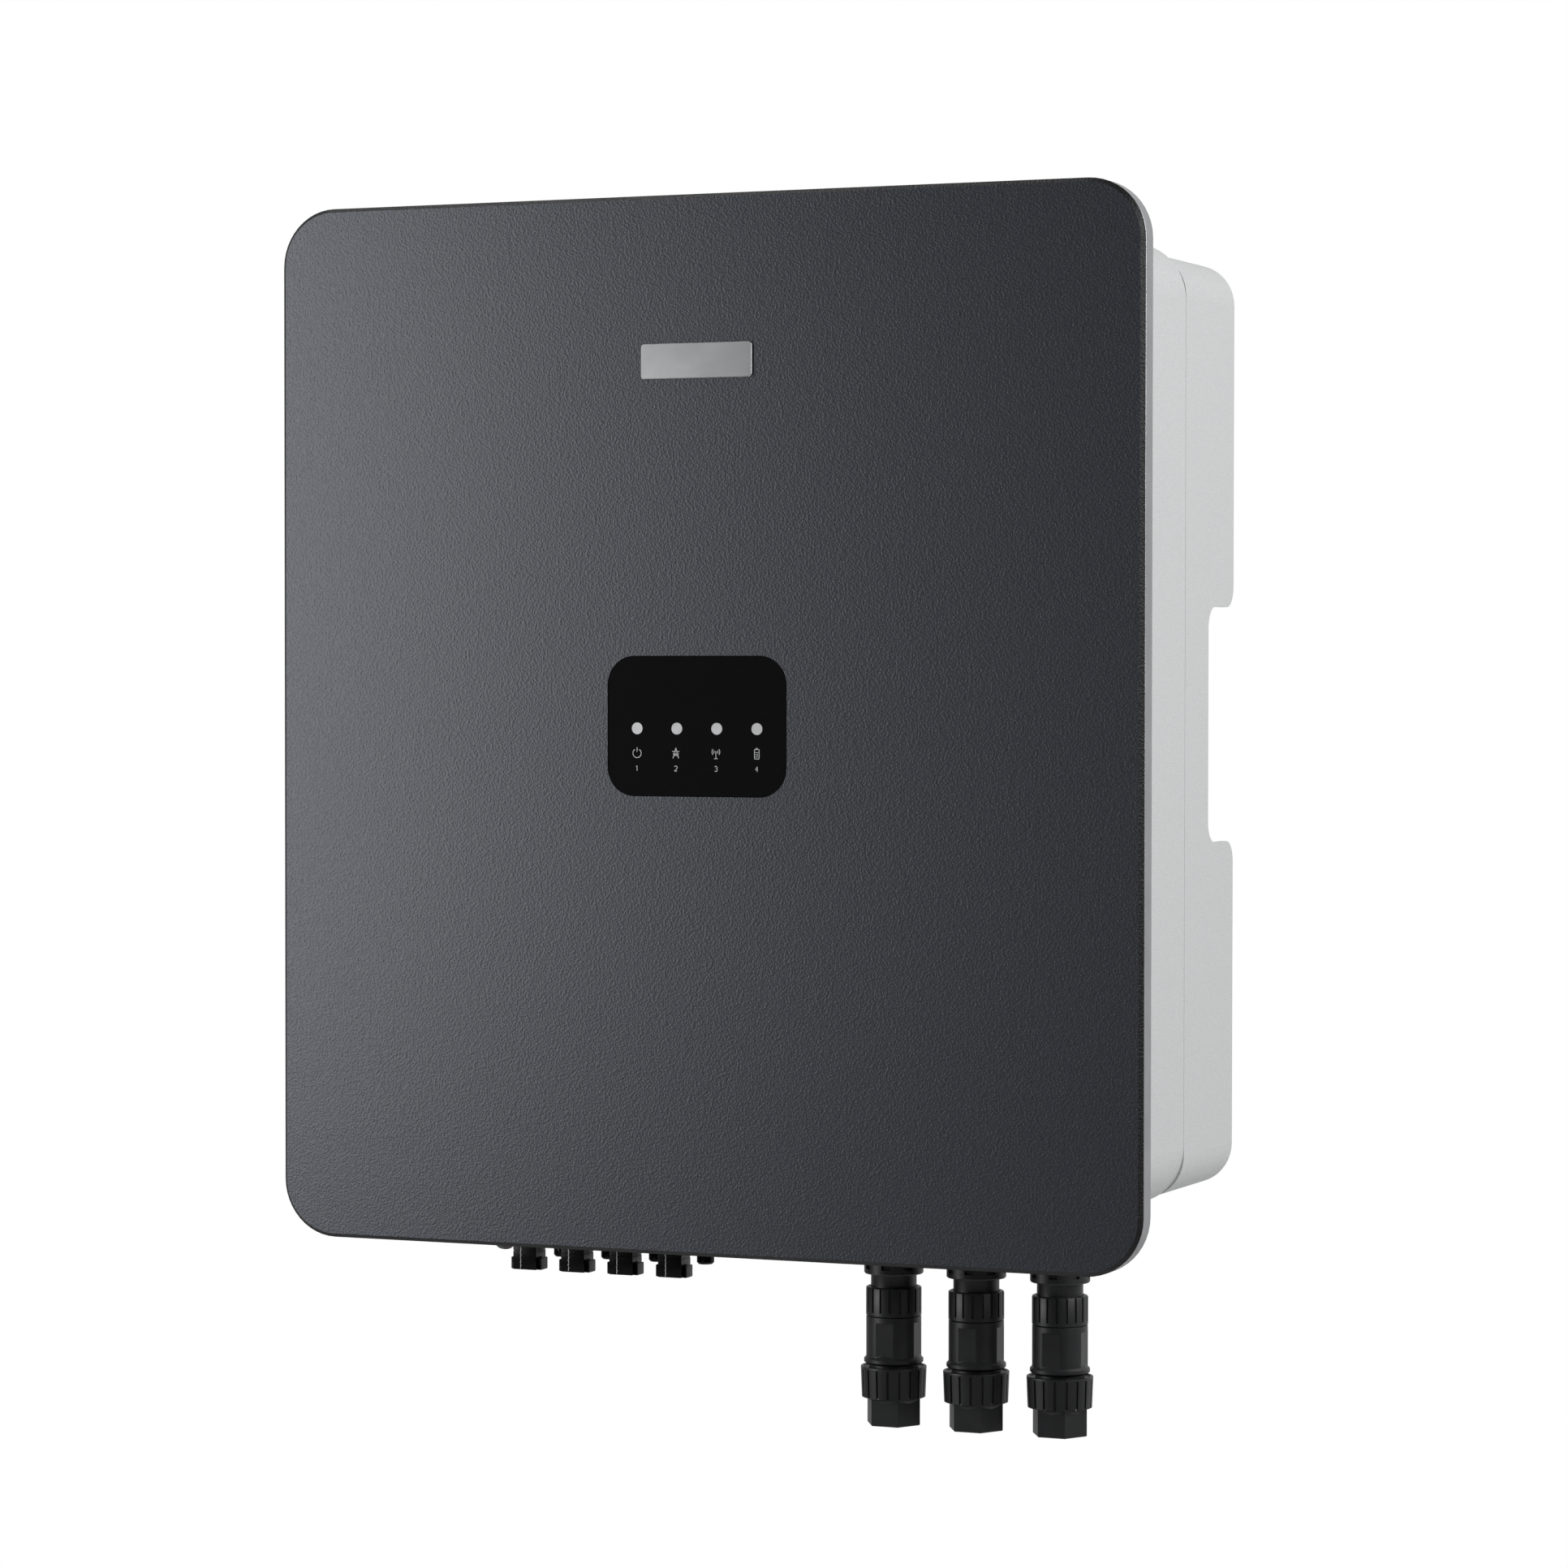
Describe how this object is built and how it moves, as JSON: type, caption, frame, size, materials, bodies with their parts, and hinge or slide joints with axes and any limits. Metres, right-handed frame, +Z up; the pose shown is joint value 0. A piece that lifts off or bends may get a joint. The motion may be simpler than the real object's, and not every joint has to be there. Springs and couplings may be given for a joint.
{
  "type": "string inverter",
  "caption": "Wall-hung string inverter with a bevelled dark front panel, status window, finned rear, hook-on wall bracket and round cable connectors below.",
  "frame": {"origin": "centre of the wall bracket's screw pattern, on the wall", "axes": "+Z up, +Y into the wall, so the front faces -Y; +X to the right seen from the front"},
  "size_m": [0.48, 0.196, 0.631],
  "materials": {
    "panel_paint": "fine textured dark grey",
    "lid_metal": "satin",
    "window_gloss": "high gloss black",
    "light_pipe": "frosted",
    "badge_metal": "brushed",
    "housing_paint": "silver grey powder coat",
    "shroud_paint": "silver grey powder coat",
    "raw_aluminium": "extruded",
    "galvanised_steel": "galvanised",
    "screw_steel": "zinc plated",
    "seal_rubber": "matt",
    "black_plastic": "fine moulded",
    "switch_plastic": "moulded",
    "shaft_steel": "turned",
    "circuit_board": "solder resist",
    "module_plastic": "moulded",
    "capacitor_sleeve": "shrink sleeve",
    "potting": "potted",
    "winding": "enamelled wire"
  },
  "bodies": {
    "wall": {"wall_bracket": "galvanised_steel"},
    "inverter": {"ac_contact_inserts": "black_plastic", "ac_flange_gaskets": "seal_rubber", "ac_gland_seals": "seal_rubber", "ac_lock_nuts": "black_plastic", "ac_plug_1": "black_plastic", "ac_plug_2": "black_plastic", "ac_plug_3": "black_plastic", "ac_socket_1": "black_plastic", "ac_socket_2": "black_plastic", "ac_socket_3": "black_plastic", "badge_plate": "badge_metal", "board_standoffs": "screw_steel", "boost_inductors": "potting", "com_port_cover": "black_plastic", "control_board": "circuit_board", "cover_gasket": "seal_rubber", "cover_lid": "lid_metal", "cover_screws": "screw_steel", "current_sensors": "module_plastic", "dc_link_capacitors": "capacitor_sleeve", "dc_lock_nuts": "black_plastic", "dc_minus_socket_1": "black_plastic", "dc_minus_socket_2": "black_plastic", "dc_minus_socket_3": "black_plastic", "dc_minus_socket_4": "black_plastic", "dc_plus_socket_1": "black_plastic", "dc_plus_socket_2": "black_plastic", "dc_plus_socket_3": "black_plastic", "dc_plus_socket_4": "black_plastic", "dc_switch_body": "switch_plastic", "display_board": "circuit_board", "display_lens": "window_gloss", "earth_screw": "screw_steel", "filter_inductors": "winding", "front_panel": "panel_paint", "grid_relays": "module_plastic", "hang_hooks": "galvanised_steel", "heat_sink": "raw_aluminium", "heat_sink_screws": "screw_steel", "hook_screws": "screw_steel", "led_light_pipes": "light_pipe", "logger_socket": "black_plastic", "lower_spacers": "seal_rubber", "main_housing": "housing_paint", "panel_clips": "black_plastic", "power_board": "circuit_board", "power_modules": "module_plastic", "rear_shroud": "shroud_paint", "shroud_screws": "screw_steel", "vent_valve": "black_plastic"},
    "dc_knob": {"dc_switch_shaft": "shaft_steel", "dc_switch_knob": "black_plastic"},
    "logger_cap": {"logger_cap": "black_plastic"},
    "ac_ring_1": {"ac_ring_1": "black_plastic"},
    "ac_nut_1": {"ac_gland_nut_1": "black_plastic"},
    "ac_ring_2": {"ac_ring_2": "black_plastic"},
    "ac_nut_2": {"ac_gland_nut_2": "black_plastic"},
    "ac_ring_3": {"ac_ring_3": "black_plastic"},
    "ac_nut_3": {"ac_gland_nut_3": "black_plastic"}
  },
  "joints": [
    {"name": "lift_off", "type": "slide", "parent": "wall", "child": "inverter", "axis": [0, 0, 1], "range_m": [0, 0.018]},
    {"name": "dc_switch_turn", "type": "hinge", "parent": "inverter", "child": "dc_knob", "pos_m": [-0.138, -0.135, -0.385], "axis": [0, 0, 1], "range_deg": [0, 90]},
    {"name": "logger_cap_turn", "type": "hinge", "parent": "inverter", "child": "logger_cap", "pos_m": [0.0216, -0.112, -0.385], "axis": [0, 0, 1], "range_deg": [0, 720]},
    {"name": "ac_ring_turn_1", "type": "hinge", "parent": "inverter", "child": "ac_ring_1", "pos_m": [0.0848, -0.135, -0.385], "axis": [0, 0, 1], "range_deg": [0, 60]},
    {"name": "ac_nut_turn_1", "type": "hinge", "parent": "inverter", "child": "ac_nut_1", "pos_m": [0.0848, -0.135, -0.385], "axis": [0, 0, 1], "range_deg": [0, 1080]},
    {"name": "ac_ring_turn_2", "type": "hinge", "parent": "inverter", "child": "ac_ring_2", "pos_m": [0.1303, -0.135, -0.385], "axis": [0, 0, 1], "range_deg": [0, 60]},
    {"name": "ac_nut_turn_2", "type": "hinge", "parent": "inverter", "child": "ac_nut_2", "pos_m": [0.1303, -0.135, -0.385], "axis": [0, 0, 1], "range_deg": [0, 1080]},
    {"name": "ac_ring_turn_3", "type": "hinge", "parent": "inverter", "child": "ac_ring_3", "pos_m": [0.1758, -0.135, -0.385], "axis": [0, 0, 1], "range_deg": [0, 60]},
    {"name": "ac_nut_turn_3", "type": "hinge", "parent": "inverter", "child": "ac_nut_3", "pos_m": [0.1758, -0.135, -0.385], "axis": [0, 0, 1], "range_deg": [0, 1080]}
  ]
}
